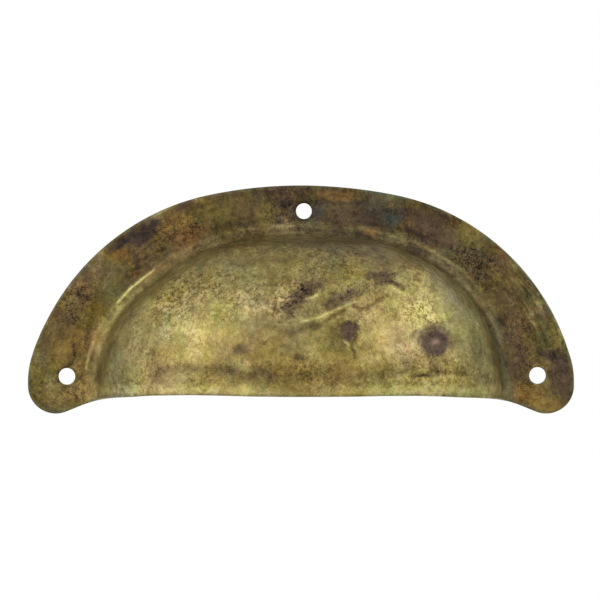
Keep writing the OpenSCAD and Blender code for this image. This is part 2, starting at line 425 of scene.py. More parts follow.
# Marks on the face: a path in millimetres, the mark's half width, how far it stands up (or sinks),
# and how far it brightens (or darkens) the colour. Most are wear and dirt a century of use has
# left; along the cup's root they are painted highlights with darker lines beside them, and one
# on the dome is a painted highlight on a small ridge.
MARKS = [
    ([(-28, 0.9), (-21, 1.2), (-16, 0.9), (-11, 0.1), (-6, 0.4), (3, 0.6), (8, -0.1)], 1.2, -0.18, -0.06),
    ([(8, -0.1), (13, -0.1), (17, 0.4), (22, -0.1), (27, 0.4), (31, 0.3)], 0.9, -0.16, 0.1),
    ([(20.2, 0), (21.7, 0.1), (23.4, -0.1)], 0.4, -0.06, -0.8),
    ([(24.6, 1), (26, 0.7), (27, 0.6)], 0.36, -0.05, -0.7),
    ([(28.2, 0.6), (30, 0)], 0.4, -0.05, -0.7),
    ([(32.7, 0.1), (33.1, 0)], 0.36, -0.04, -0.6),
    ([(16.9, 10.7), (17.1, 10.6)], 0.4, -0.04, -1.1),
    ([(14.8, 4.4), (14.6, 3)], 0.4, -0.04, -0.6),
    ([(-0.6, 3.7), (0.8, 3.2)], 0.5, -0.05, -0.9),
    ([(11, 6.6), (12.2, 5.2)], 0.4, -0.04, -0.5),
    ([(5.6, 6), (4.4, 4)], 0.4, -0.04, -0.5),
    ([(-26.4, 0.4), (-25.6, 0.9), (-24.6, 0.7)], 0.5, -0.05, -0.7),
    ([(-16.4, 1.4), (-14.6, 1), (-12, 0.7)], 0.5, -0.05, -0.4),
    ([(-11, -0.2), (-8.4, 0.1), (-6.4, 1)], 0.5, -0.05, -0.5),
    ([(0.2, 9.9), (3.2, 10.6), (5.4, 11.7), (7.7, 12.7), (9.5, 13.4)], 0.25, 0.2, 1.3),
    ([(-3.6, 9.4), (-1.6, 9.2), (0.2, 9.9)], 0.4, 0.1, 0.3),
    ([(4.2, 9.9), (5.8, 10.9), (7.8, 11.9)], 0.3, -0.16, -2),
    ([(9.5, 12.8), (10.7, 12.1), (12.5, 12.7), (14.1, 13.9), (15.5, 14.7)], 0.36, -0.12, -1.5),
    ([(-5.6, 9.1), (-3.5, 8.3), (-1.7, 7.6), (0.4, 8.4), (2, 9.2), (3, 9)], 0.5, -0.16, -0.8),
    ([(-5.3, 11.6), (-5.4, 13.4), (-4.6, 15.3), (-3.4, 16.1)], 0.3, 0.12, 0.9),
    ([(-4.8, 13.6), (-4.8, 12.3)], 0.4, -0.1, -1.2),
    ([(-3.9, 13.9), (-1.7, 13.8)], 0.24, 0.08, 1.5),
    ([(-2.2, 12.2), (-0.5, 14.5), (2.2, 16.5)], 1.4, -0.22, -0.2),
    # Painted highlight on a short raised ridge
    ([(0.9, 14), (1.8, 14.2), (2.8, 14.7)], 0.28, 0.1, 2),
    ([(3.4, 12.4), (8.6, 14.6), (11, 16.4)], 1.1, -0.15, -0.2),
    ([(8.4, 8.2), (8.9, 7.4)], 1.3, -0.25, -0.2),
    ([(7, 9.2), (8, 9.8), (9.3, 9.8), (10, 9)], 0.3, -0.04, -1.3),
    ([(9.7, 8.4), (9.9, 7.2), (9.4, 5.9)], 0.34, -0.04, -1),
    ([(7.7, 6.5), (8.6, 5.7)], 0.35, 0.1, 1.5),
    ([(4.3, 9.1), (5.4, 8.9), (6.6, 8.4)], 0.3, -0.06, -0.9),
    ([(9, 6), (9.9, 4.2)], 0.4, -0.06, -0.9),
    ([(24.3, 6.4), (24.4, 6.4)], 2.3, -0.26, 0),
    ([(24.2, 6.1), (24.6, 6.2)], 0.5, 0.14, 1.1),
    ([(21.3, 8.6), (20.7, 6.4), (21.5, 4.2)], 0.42, 0.12, 0.6),
    ([(22.9, 3.4), (23.7, 2.2), (24.3, 0.9)], 0.34, -0.05, -1),
    ([(14.9, 18.2), (15.3, 18)], 1.5, -0.18, -0.3),
    ([(15.9, 17.3), (17.2, 16.7), (18.4, 15.7)], 0.4, -0.12, -1.8),
    ([(16.2, 16.4), (17.4, 15.8), (18.6, 14.9)], 0.36, 0.1, 0.7),
    ([(-12.4, 4.6), (-9.8, 5.3)], 0.8, -0.14, -0.2),
    ([(-41.6, 5.6), (-41.4, 3.6), (-42, 2.1)], 0.36, -0.04, -1.8),
    # From here on, but for the light spot at (-11.2, 2.3), the marks follow the cup's root: those that
    # brighten are painted highlights along the fold and its sloping band, some on a faint raised line, and
    # those that darken run beside them, most along the foot of the wall.
    ([(-39.2, 1), (-38.6, 5.1), (-37.3, 8.2), (-35.7, 11), (-33.4, 13.9)], 0.5, 0.04, 0.5),
    ([(-39.3, 1.4), (-38.9, 3.4), (-38, 6)], 0.4, 0.03, 1),
    ([(-33.5, 13.3), (-31.2, 15.9), (-28.4, 18.2), (-26.9, 19.3)], 0.25, 0.1, 2.4),
    ([(-37.9, -1), (-37.5, 2.9), (-35.8, 7.6), (-33, 12.1), (-29.4, 15.8)], 0.6, 0, 0.6),
    ([(-36.4, -2), (-36, 2.7), (-34.4, 7.2), (-31.7, 11.5), (-28, 15.3), (-23.5, 18.6)], 0.7, 0, -0.45),
    ([(-26.6, 19.9), (-23.6, 21.9), (-19.8, 23.8)], 0.4, 0.03, 0.5),
    ([(-9.2, 26.9), (-4.8, 27.3), (-0.9, 27.3)], 0.42, 0.03, 1.1),
    ([(-11.2, 2.3), (-9.9, 2.2)], 0.9, 0, 0.6),
    ([(-19.4, 24.1), (-13.6, 26.1), (-6.9, 27.3), (0, 27.7), (4.1, 27.6)], 0.4, 0.04, 0.5),
    ([(10.7, 27), (14, 26.4), (19.4, 25), (24.3, 22.7), (28.7, 19.9), (31.2, 17.6)], 0.4, 0.05, 1.15),
    ([(14.4, 27.8), (20.1, 26.2), (25.1, 24)], 0.5, 0, -0.5),
    ([(33.2, 12.2), (35.6, 7.5), (36.9, 3.8), (37.4, 0.9)], 0.4, 0, -1),
    ([(31.1, 11.3), (33.4, 7), (34.6, 3.4), (35.1, 0.7)], 0.9, 0, 0.6),
    ([(31.5, 17.2), (33.9, 14.2), (36, 10.9)], 0.4, 0.03, 0.6),
    ([(25, 20), (29.5, 16.3), (32.9, 12)], 0.5, 0, -0.35),
    ([(10.2, 25.8), (19.8, 23.2), (25.6, 20.2)], 0.8, 0, -0.5),
    ([(-20.4, 22.4), (-13.4, 24.6), (-6.6, 25.6), (0.4, 26), (9.6, 25.4)], 0.6, 0, 0.5),
    ([(-13, 23.2), (-6.4, 24.2), (0.4, 24.6), (9.2, 24)], 0.8, 0, -0.4),
    ([(32.8, 16), (35.4, 13.1), (37.4, 9.8), (38.9, 5.3), (39.6, 0.6)], 0.3, 0.03, 0.5),
]


def worn(x, z):
    """How far the marks raise or sink the face, and how far wear, dirt and painted highlights brighten or
    darken it.
    """
    lift = np.zeros(len(x))
    wear_and_highlight = np.zeros(len(x))
    for path, half_width, height, polish_and_highlight in MARKS:
        gap = np.full(len(x), np.inf)
        for (x0, z0), (x1, z1) in zip(path, path[1:]):
            run = (x1 - x0, z1 - z0)
            share = ((x - x0) * run[0] + (z - z0) * run[1]) / (run[0] ** 2 + run[1] ** 2)
            share = np.clip(share, 0, 1)
            gap = np.minimum(gap, np.hypot(x - x0 - share * run[0], z - z0 - share * run[1]))
        near = np.exp(-((gap / half_width) ** 2))
        lift += height * near
        wear_and_highlight += polish_and_highlight * near
    return lift, wear_and_highlight


section = cup_section()
flat, faces, edge = lay_out_blank(section)
x, z = flat.T
lift, wear_and_highlight = worn(x, z)
outline = resampled(sheet_outline(), outline_spacing)
FARTHEST_MARGIN = 3.0
measures = {
    "rise": (cup_height(section, x, z) + lift) * MM,
    "edge": edge * MM,
    "margin": np.minimum(nearest(flat, outline), FARTHEST_MARGIN) * MM,
    "inward": (ROOT_HALF_HEIGHT - cup_reach(x, z)) * MM,
    "wear_and_highlight": wear_and_highlight,
}
blank_mesh = bpy.data.meshes.new("sheet_blank")
blank_mesh.from_pydata([(x * MM, 0, z * MM) for x, z in flat], [], faces.tolist())
for name, values in measures.items():
    layer = blank_mesh.attributes.new(name, "FLOAT", "POINT")
    layer.data.foreach_set("value", values.astype(np.float32))
layer = blank_mesh.attributes.new("outward", "FLOAT_VECTOR", "POINT")
layer.data.foreach_set("vector", face_normals(section, x, z).astype(np.float32).ravel())
pull = bpy.data.objects.new("pressed_cup_pull", blank_mesh)
bpy.context.collection.objects.link(pull)


def node(tree, kind, links=None, **settings):
    """Adds a node, sets its own settings and unlinked inputs, and links the rest."""
    made = tree.nodes.new(kind)
    for name, value in settings.items():
        setattr(made, name, value)
    for name, value in (links or {}).items():
        socket = made.inputs[name]
        if isinstance(value, bpy.types.NodeSocket):
            tree.links.new(value, socket)
        else:
            socket.default_value = value
    return made


def maths(tree, operation, a, b=0.0, c=0.0):
    """One sum of up to three values."""
    return node(tree, "ShaderNodeMath", {0: a, 1: b, 2: c}, operation=operation).outputs[0]


def times(tree, a, b):
    return maths(tree, "MULTIPLY", a, b)


def plus(tree, a, b):
    return maths(tree, "ADD", a, b)


def minus(tree, a, b):
    return maths(tree, "SUBTRACT", a, b)


def times_plus(tree, a, b, c):
    """The first times the second, and the third added."""
    return maths(tree, "MULTIPLY_ADD", a, b, c)


def vector_maths(tree, operation, a, b=(0, 0, 0), out=0, **more):
    """One sum of vectors; out=1 gives a result that is a plain value."""
    links = {0: a, 1: b}
    links.update(more)
    return node(tree, "ShaderNodeVectorMath", links, operation=operation).outputs[out]


def carried(tree, name, kind="FLOAT"):
    """A measure that the sheet's own points or faces carry, read in Geometry Nodes."""
    made = node(tree, "GeometryNodeInputNamedAttribute", {"Name": name}, data_type=kind)
    return made.outputs["Attribute"]


def marked(tree, mesh, name, value, kind, domain):
    """The mesh with one more measure on its points or faces."""
    links = {"Geometry": mesh, "Name": name, "Value": value}
    made = node(tree, "GeometryNodeStoreNamedAttribute", links, data_type=kind, domain=domain)
    return made.outputs[0]


def placed(tree, mesh, **links):
    """The mesh with its points moved to a position or by an offset."""
    return node(tree, "GeometryNodeSetPosition", {"Geometry": mesh, **links}).outputs[0]


# How much the sheet dents: half as deep and the other way on the flange, and fully where it is
# drawn this high
FULL_YIELD_HEIGHT = 9
FLANGE_YIELD = -0.5
DOME_YIELD = 1.0
# The two surfaces and the rim are joined where they lie closer than this
SEAM = 0.004


def press_tree():
    """Draws the flat blank to its section, dents it, and gives the sheet its thickness and edges."""
    tree = bpy.data.node_groups.new("press_sheet", "GeometryNodeTree")
    sizes = [
        ("Blank", "Geometry", None),
        ("Sheet Thickness", "Float", SHEET * MM),
        ("Face Edge Rounding", "Float", 0.25 * MM),
        ("Back Edge Rounding", "Float", 0.14 * MM),
        ("Dent Depth", "Float", 0.22 * MM),
        ("Dent Size", "Float", 9.0 * MM),
        ("Dent Seed", "Float", 4.0),
        ("Face Finish", "Material", None),
        ("Back Finish", "Material", None),
    ]
    for name, kind, value in sizes:
        socket = tree.interface.new_socket(name, in_out="INPUT", socket_type="NodeSocket" + kind)
        if value is not None:
            socket.default_value = value
    tree.interface.new_socket("Pull", in_out="OUTPUT", socket_type="NodeSocketGeometry")
    given = tree.nodes.new("NodeGroupInput").outputs

    # The punch draws the blank out and leaves shallow dents
    rise = carried(tree, "rise")
    ripple = {
        "Vector": node(tree, "GeometryNodeInputPosition").outputs[0],
        "W": given["Dent Seed"],
        "Scale": maths(tree, "DIVIDE", 1.0, given["Dent Size"]),
        "Detail": 2.0,
        "Roughness": 0.45,
    }
    ripple = node(tree, "ShaderNodeTexNoise", ripple, noise_dimensions="4D").outputs[0]
    yielding = {"Value": rise, "From Min": SHEET * MM, "From Max": FULL_YIELD_HEIGHT * MM}
    yielding.update({"To Min": FLANGE_YIELD, "To Max": DOME_YIELD})
    yielding = node(tree, "ShaderNodeMapRange", yielding).outputs[0]
    dent = times(tree, times(tree, ripple, given["Dent Depth"]), yielding)
    drawn = node(tree, "ShaderNodeCombineXYZ", {"Y": minus(tree, dent, rise)}).outputs[0]
    pressed = placed(tree, given["Blank"], Offset=drawn)

    def edge_drop(rounding):
        """How far a surface falls away towards a rounded cut edge."""
        short = maths(tree, "MAXIMUM", minus(tree, rounding, carried(tree, "edge")), 0.0)
        whole = times(tree, rounding, rounding)
        square = minus(tree, whole, times(tree, short, short))
        return minus(tree, rounding, maths(tree, "SQRT", maths(tree, "MAXIMUM", square, 0.0)))

    # Both surfaces are set off from the drawn face along its own normals
    face_drop = edge_drop(given["Face Edge Rounding"])
    back_edge = edge_drop(given["Back Edge Rounding"])
    back_drop = minus(tree, given["Sheet Thickness"], back_edge)
    for name, depth in (("face_at", face_drop), ("back_at", back_drop)):
        here = node(tree, "GeometryNodeInputPosition").outputs[0]
        into = vector_maths(tree, "SCALE", carried(tree, "outward", "FLOAT_VECTOR"), Scale=depth)
        pressed = marked(
            tree, pressed, name, vector_maths(tree, "SUBTRACT", here, into), "FLOAT_VECTOR", "POINT"
        )
    face_at = carried(tree, "face_at", "FLOAT_VECTOR")
    back_at = carried(tree, "back_at", "FLOAT_VECTOR")

    # The face's open edges are carried back to make the rim, and the back closes the sheet
    face = placed(tree, pressed, Position=face_at)
    neighbours = node(tree, "GeometryNodeInputMeshEdgeNeighbors").outputs[0]
    cut = node(
        tree, "FunctionNodeCompare", {2: neighbours, 3: 1}, data_type="INT", operation="EQUAL"
    ).outputs[0]
    rimmed = node(
        tree, "GeometryNodeExtrudeMesh", {"Mesh": face, "Selection": cut, "Offset Scale": 0.0}, mode="EDGES"
    ).outputs
    rim = placed(tree, rimmed["Mesh"], Selection=rimmed["Top"], Position=back_at)
    rim = marked(tree, rim, "back_face", False, "BOOLEAN", "FACE")
    back = placed(tree, pressed, Position=back_at)
    back = node(tree, "GeometryNodeFlipFaces", {"Mesh": back}).outputs[0]
    back = marked(tree, back, "back_face", True, "BOOLEAN", "FACE")
    join = tree.nodes.new("GeometryNodeJoinGeometry")
    tree.links.new(rim, join.inputs[0])
    tree.links.new(back, join.inputs[0])
    closed = node(
        tree, "GeometryNodeMergeByDistance", {"Geometry": join.outputs[0], "Distance": SEAM * MM}
    ).outputs[0]
    smooth = node(tree, "GeometryNodeSetShadeSmooth", {"Geometry": closed}).outputs[0]
    real = node(tree, "GeometryNodeRealizeInstances", {"Geometry": smooth}).outputs[0]
    finish = {"Geometry": real, "Material": given["Face Finish"]}
    faced = node(tree, "GeometryNodeSetMaterial", finish).outputs[0]
    is_back = carried(tree, "back_face", "BOOLEAN")
    finish = {"Geometry": faced, "Selection": is_back, "Material": given["Back Finish"]}
    finished = node(tree, "GeometryNodeSetMaterial", finish).outputs[0]
    end = tree.nodes.new("NodeGroupOutput")
    tree.links.new(finished, end.inputs[0])
    return tree


# The face has gone a hundred years without polish: bright yellow brass where hands rub the dome,
# brown tarnish over the flange, darker along the foot of the cup's wall, and oxide stains of many
# colours; painted highlights along the lip and the cup's root, and painted shade at the lip's edge.
# The metal's colour follows one brightness, from black tarnish at nought to rubbed bright at one:
# mostly how clean it is, and on the face also painted highlights and painted shade.
BRASS_LADDER = [
    (0.00, (0.034, 0.022, 0.011)),
    (0.20, (0.078, 0.053, 0.021)),
    (0.40, (0.124, 0.087, 0.033)),
    (0.60, (0.202, 0.152, 0.056)),
    (0.80, (0.310, 0.247, 0.096)),
    (1.00, (0.460, 0.385, 0.165)),
]
OLIVE = (0.148, 0.114, 0.030)
OCHRE = (0.190, 0.118, 0.030)
VERDIGRIS = (0.130, 0.115, 0.056)
RUST = (0.145, 0.076, 0.022)
UMBER = (0.086, 0.055, 0.027)
MAUVE = (0.078, 0.048, 0.028)
PLUM = (0.040, 0.026, 0.020)
TEAL = (0.038, 0.043, 0.034)
SLATE = (0.056, 0.037, 0.026)
DARK_OXIDES = (UMBER, MAUVE, PLUM, TEAL)


def noise(tree, place, scale, detail=3.0, roughness=0.6, seed=0.0, colour=False, swirl=0.0):
    """Fractal noise over a place in millimetres; the scale is in turns per millimetre."""
    links = {"Vector": place, "W": seed, "Scale": scale, "Detail": detail, "Roughness": roughness}
    links["Distortion"] = swirl
    made = node(tree, "ShaderNodeTexNoise", links, noise_dimensions="4D")
    return made.outputs[1 if colour else 0]


def fade(tree, value, start, end, low=0.0, high=1.0):
    """Goes smoothly from low at start to high at end."""
    links = {"Value": value, "From Min": start, "From Max": end, "To Min": low, "To Max": high}
    return node(tree, "ShaderNodeMapRange", links, interpolation_type="SMOOTHSTEP").outputs[0]


def blend_colour(tree, share, under, over, mode="MIX"):
    """Lays one colour over another by a share, or multiplies them."""
    made = tree.nodes.new("ShaderNodeMix")
    made.data_type = "RGBA"
    made.blend_type = mode
    for socket, value in ((made.inputs[0], share), (made.inputs[6], under), (made.inputs[7], over)):
        if isinstance(value, bpy.types.NodeSocket):
            tree.links.new(value, socket)
        else:
            socket.default_value = value if isinstance(value, float) else (*value, 1)
    return made.outputs[2]


def brass_colour(tree, brightness):
    """The colour of the metal at a given brightness, from black tarnish to rubbed bright."""
    ladder = tree.nodes.new("ShaderNodeValToRGB")
    ramp = ladder.color_ramp
    ramp.elements.remove(ramp.elements[1])
    for number, (at, shade) in enumerate(BRASS_LADDER):
        step = ramp.elements[0] if number == 0 else ramp.elements.new(at)
        step.position = at
        step.color = (*shade, 1)
    tree.links.new(brightness, ladder.inputs[0])
    return ladder.outputs[0]


def bump_at(tree, value, middle, half):
    """One at the middle, falling smoothly to nothing at half away."""
    off = maths(tree, "ABSOLUTE", minus(tree, value, middle))
    return fade(tree, off, half, 0.0)


def measured(tree, name):
    """One of the sheet's own measures, stored on its points."""
    return node(tree, "ShaderNodeAttribute", attribute_name=name).outputs["Fac"]


def new_finish(name):
    """An empty finish, with the place in millimetres and how far in from the root it lies."""
    made = bpy.data.materials.new(name)
    made.use_nodes = True
    tree = made.node_tree
    tree.nodes.clear()
    where = node(tree, "ShaderNodeTexCoord").outputs["Object"]
    place = vector_maths(tree, "SCALE", where, Scale=1 / MM)
    return made, tree, place, times(tree, measured(tree, "inward"), 1 / MM)


MIDDLE_GREY = (0.5, 0.5, 0.5)


def hue_shift(tree, place, scale, seed, reach):
    """How far tarnish of one cleanness strays in red, green and blue from place to place."""
    shift = noise(tree, place, scale, 3.0, 0.75, seed, colour=True)
    return vector_maths(tree, "MULTIPLY", vector_maths(tree, "SUBTRACT", shift, MIDDLE_GREY), reach)


def metal_skin(tree, colour, metallic, roughness, **more):
    """Ends a finish in a metal skin that has little gloss of its own."""
    links = {"Base Color": colour, "Metallic": metallic, "Roughness": roughness, **more}
    links["Specular IOR Level"] = 0.12
    skin = node(tree, "ShaderNodeBsdfPrincipled", links)
    node(tree, "ShaderNodeOutputMaterial", {"Surface": skin.outputs[0]})


def summed(tree, start, parts):
    """Adds parts to a value, each times its own amount."""
    for value, amount in parts:
        start = times_plus(tree, value, amount, start)
    return start


STAIN_SIZES = ("Half Length", "Half Width", "Turn", "Strength", "Softness")


def stain_group():
    """One stain: a soft-edged ellipse on the face, from one inside it to nothing outside."""
    tree = bpy.data.node_groups.new("stain", "ShaderNodeTree")
    for name in ("Place", "Centre"):
        tree.interface.new_socket(name, in_out="INPUT", socket_type="NodeSocketVector")
    for name in ("Ragged", *STAIN_SIZES):
        tree.interface.new_socket(name, in_out="INPUT", socket_type="NodeSocketFloat")
    tree.interface.new_socket("Mask", in_out="OUTPUT", socket_type="NodeSocketFloat")
    given = tree.nodes.new("NodeGroupInput").outputs
    away = vector_maths(tree, "SUBTRACT", given["Place"], given["Centre"])
    turn = {"Vector": away, "Axis": (0, 1, 0), "Angle": given["Turn"]}
    turned = node(tree, "ShaderNodeVectorRotate", turn, rotation_type="AXIS_ANGLE").outputs[0]
    halves = {"X": given["Half Length"], "Y": 1.0, "Z": given["Half Width"]}
    halves = node(tree, "ShaderNodeCombineXYZ", halves).outputs[0]
    share = vector_maths(tree, "LENGTH", vector_maths(tree, "DIVIDE", turned, halves), out=1)
    share = plus(tree, share, given["Ragged"])
    outer = plus(tree, 1.0, given["Softness"])
    inner = minus(tree, 1.0, given["Softness"])
    mask = times(tree, fade(tree, share, outer, inner), given["Strength"])
    end = tree.nodes.new("NodeGroupOutput")
    tree.links.new(mask, end.inputs[0])
    return tree


STAIN = stain_group()


def spots_mask(tree, place, ragged, spots, joined):
    """Where a list of spots lies; a spot is x, z, half sizes, turn, strength and softness."""
    total = None
    for x, z, half_length, half_width, turn, strength, softness in spots:
        sizes = (half_length, half_width, math.radians(turn), strength, softness)
        stain = {"Place": place, "Ragged": ragged, "Centre": (x, 0, z)}
        stain.update(zip(STAIN_SIZES, sizes))
        mask = node(tree, "ShaderNodeGroup", stain, node_tree=STAIN).outputs[0]
        total = mask if total is None else maths(tree, joined, total, mask)
    return total


# Stains on the face, from the first laid to the last: place and half sizes in millimetres, turn
# in degrees, strength and softness
OLIVE_STAINS = [
    (-15.8, 29.9, 6, 2.2, 15, 0.55, 0.5),
    (-6.6, 28.8, 1.5, 2.6, 0, 0.7, 0.5),
    (31, 25.8, 2.8, 1.9, -35, 0.8, 0.4),
    (34.6, 23.2, 2, 1.2, -40, 0.6, 0.5),
    (46.4, 7.2, 3.8, 1.2, -75, 0.7, 0.5),
    (-43.8, 17, 4, 1, 55, 0.6, 0.6),
    (-48.3, 0.5, 3.5, 1, 85, 0.5, 0.6),
]
OCHRE_STAINS = [
    (-43.6, 4.2, 3.6, 2.6, 70, 0.55, 0.6),
    (-44, -3.8, 4.6, 2, -8, 0.5, 0.6),
    (-39.9, 0.4, 1.4, 3.6, 0, 0.5, 0.6),
    (29, -1.4, 3, 1, 0, 0.35, 0.7),
    (42.2, -3.3, 3.3, 1.9, -15, 0.9, 0.4),
    (45.2, -5.2, 3.2, 1.3, 4, 0.8, 0.5),
    (-22.8, 27.6, 2.6, 2, 25, 0.5, 0.6),
    (7, 33, 4.6, 0.7, -4, 0.2, 0.6),
]
VERDIGRIS_STAINS = [
    (37.9, -1.6, 1.2, 3.2, 0, 0.7, 0.5),
    (36, 6, 6, 1.1, -80, 0.6, 0.6),
    (7, 14.4, 3.5, 1, 22, 0.7, 0.5),
    (-34.4, 2.6, 1.2, 3.6, -10, 0.5, 0.6),
    (-47.4, 3.2, 1.2, 1.6, 0, 0.5, 0.5),
    (31.5, 2.5, 2.6, 4.5, 0, 0.35, 0.7),
]
RUST_STAINS = [
    (-33.4, 22, 1.7, 0.9, 30, 0.75, 0.5),
    (-20.3, 25.6, 3.4, 1.4, 25, 0.7, 0.6),
    (-30.4, 18.9, 1, 0.6, 40, 0.8, 0.5),
    (6, 32.9, 3.8, 0.7, -4, 0.45, 0.6),
    (12.8, 26.4, 1.7, 0.9, 0, 0.6, 0.5),
    (40.6, -4.2, 1.4, 0.9, 30, 0.7, 0.5),
    (36.4, 22.6, 1.8, 0.7, -45, 0.6, 0.5),
]
UMBER_STAINS = [
    (-26, 0.6, 2, 1, 0, 0.3, 0.6),
    (-18.4, 1.4, 5, 1, 4, 0.36, 0.7),
    (-12.5, 0.6, 4, 1.3, -14, 0.5, 0.6),
    (-7, 0.6, 2.4, 1.9, 10, 0.5, 0.6),
    (-2, 0.6, 3.6, 2, 0, 0.4, 0.7),
    (7.4, -0.3, 7, 1.1, -2, 0.42, 0.7),
    (16, 0.2, 3, 0.7, 10, 0.3, 0.7),
    (28, 0.4, 3.6, 0.7, 0, 0.3, 0.7),
    (4, -2, 7, 1, 3, 0.3, 0.7),
    (31.9, 19.8, 4.2, 2, -46, 0.6, 0.6),
    (9.5, 28.8, 7.5, 2.3, -3, 0.7, 0.5),
    (22.7, 28, 3.8, 1.8, -30, 0.7, 0.4),
    (26, 25.4, 3, 1.6, -40, 0.75, 0.4),
    (36.4, 19.9, 3.2, 1.4, -50, 0.5, 0.5),
    (38.2, 13, 4.5, 1.6, -68, 0.65, 0.5),
    (-10.3, 30.3, 2.4, 1.8, 0, 0.4, 0.6),
    (-40.4, 14.2, 1.6, 1.4, 60, 0.7, 0.5),
    (-43.6, 9.6, 3.4, 2.2, 60, 0.45, 0.6),
    (-46.9, 6, 0.9, 1.7, 0, 0.8, 0.5),
    (-25.8, 20.6, 4.2, 0.9, 38, 0.4, 0.6),
    (-1.1, 3.7, 10, 5, 0, 0.22, 0.8),
    (6.6, 6.4, 2.6, 2.2, 60, 0.45, 0.6),
    (-10.2, 4.9, 1.7, 1.3, 0, 0.5, 0.5),
    (7.4, 14.2, 4.4, 1.5, 24, 0.45, 0.5),
    (2.4, 8.8, 1, 0.7, 0, 0.6, 0.5),
    (12.3, 18.1, 1, 0.6, 0, 0.8, 0.5),
]
MAUVE_STAINS = [
    (39.8, 5.6, 4.4, 1.7, -78, 0.7, 0.5),
    (39.4, 1.6, 2.6, 1.4, -85, 0.6, 0.6),
    (47.6, -0.2, 4.4, 2, -80, 0.85, 0.5),
    (46.6, 3, 2.6, 1.4, -30, 0.7, 0.5),
    (24.2, 27, 3.4, 1.6, -36, 0.95, 0.5),
    (0.5, 14.9, 3.6, 1.6, 40, 0.9, 0.4),
    (-1.9, 12.4, 1.3, 1.5, 0, 0.8, 0.5),
    (7, 14, 3.6, 1.2, 24, 0.5, 0.5),
    (8.7, 8.2, 1.7, 2.1, -15, 1, 0.3),
    (9.5, 5, 0.35, 1.6, 12, 0.7, 0.5),
    (14.8, 18.3, 2.4, 1.3, -8, 0.85, 0.5),
    (17.6, 16.7, 1.6, 0.5, -30, 0.6, 0.5),
    (-10.8, 4.6, 1.4, 0.7, 10, 0.5, 0.6),
    (0, 3.3, 0.6, 0.6, 0, 0.6, 0.6),
]
PLUM_STAINS = [
    (-29.4, 25.6, 2.5, 1.9, 45, 0.95, 0.3),
    (-32.5, 24.7, 3, 0.8, 32, 0.9, 0.4),
    (-27.6, 27.3, 1.9, 0.8, 25, 0.85, 0.4),
    (-30.3, 21.2, 0.5, 2.2, 5, 0.7, 0.5),
    (-2.4, 31, 1.5, 2.2, 15, 0.75, 0.5),
    (2.8, 30.3, 1, 1.4, 0, 0.9, 0.5),
    (12, 28.6, 2.3, 1.3, -10, 0.5, 0.6),
    (18.7, 30.3, 1.2, 0.9, 0, 0.7, 0.5),
    (-21.3, 31.2, 1.6, 0.6, 20, 0.5, 0.5),
    (45.6, 3.7, 2.6, 0.9, -16, 0.7, 0.5),
    (47.9, 2.4, 2.6, 1.2, -80, 0.75, 0.4),
    (21.7, 0.05, 1.7, 0.25, 0, 0.7, 0.4),
]
TEAL_STAINS = [
    (3.1, 29.8, 1.3, 1.8, 0, 0.45, 0.5),
    (16.6, 28.8, 1.9, 1.2, -10, 0.85, 0.5),
    (13.4, 30.4, 2.2, 1.3, -10, 0.4, 0.6),
]
STAINS = [
    (OLIVE, OLIVE_STAINS),
    (OCHRE, OCHRE_STAINS),
    (VERDIGRIS, VERDIGRIS_STAINS),
    (RUST, RUST_STAINS),
    (UMBER, UMBER_STAINS),
    (MAUVE, MAUVE_STAINS),
    (PLUM, PLUM_STAINS),
    (TEAL, TEAL_STAINS),
]
# Round slate-grey stains with clean edges, laid last
ROUND_STAINS = [
    (24.2, 6.7, 3.1, 2.9, 0, 0.7, 0.28),
    (24.2, 6.1, 2.6, 2.4, 0, 1, 0.28),
    (20.9, 7.7, 0.9, 0.7, 60, 0.55, 0.4),
]
# Broad areas kept brighter than the rest, and others duller, grittier or rubbed into streaks
RUBBED_AREAS = [
    (-19.8, 6.6, 5.4, 4.4, 10, 0.2, 0.9),
    (-11, 10, 4.6, 2.6, 0, 0.06, 0.9),
    (15.6, -1.6, 3.4, 2, 0, 0.06, 0.8),
    (-27.7, 28.6, 2.2, 1.6, 35, 0.07, 0.8),
    (11, 9.8, 2, 2.4, 0, 0.08, 0.8),
    (28.6, 6, 2.2, 3.6, 0, 0.07, 0.8),
    (-34, 9.8, 2, 3, -25, 0.08, 0.8),
    (-46.6, -3.4, 2, 4, 0, 0.1, 0.8),
    (-28, 9.6, 2.4, 3.2, 0, 0.07, 0.8),
    (-41, 0.6, 2, 4.8, 8, 0.22, 0.8),
    (10.8, 2.8, 3, 2, 0, 0.16, 0.8),
    (17, 6.6, 3.2, 3.6, 0, 0.16, 0.8),
    (19, 17, 7, 3, -40, 0.12, 0.9),
    (-4.6, 21, 5, 2.6, 0, 0.09, 0.8),
    (17.2, 32, 3.4, 1.6, -18, 0.24, 0.7),
    (16.8, 24.8, 3, 1.6, -20, 0.07, 0.8),
    (29.8, 12, 2.2, 5, 10, 0.12, 0.9),
    (37.2, 18.2, 2.6, 1.6, -50, 0.18, 0.7),
]
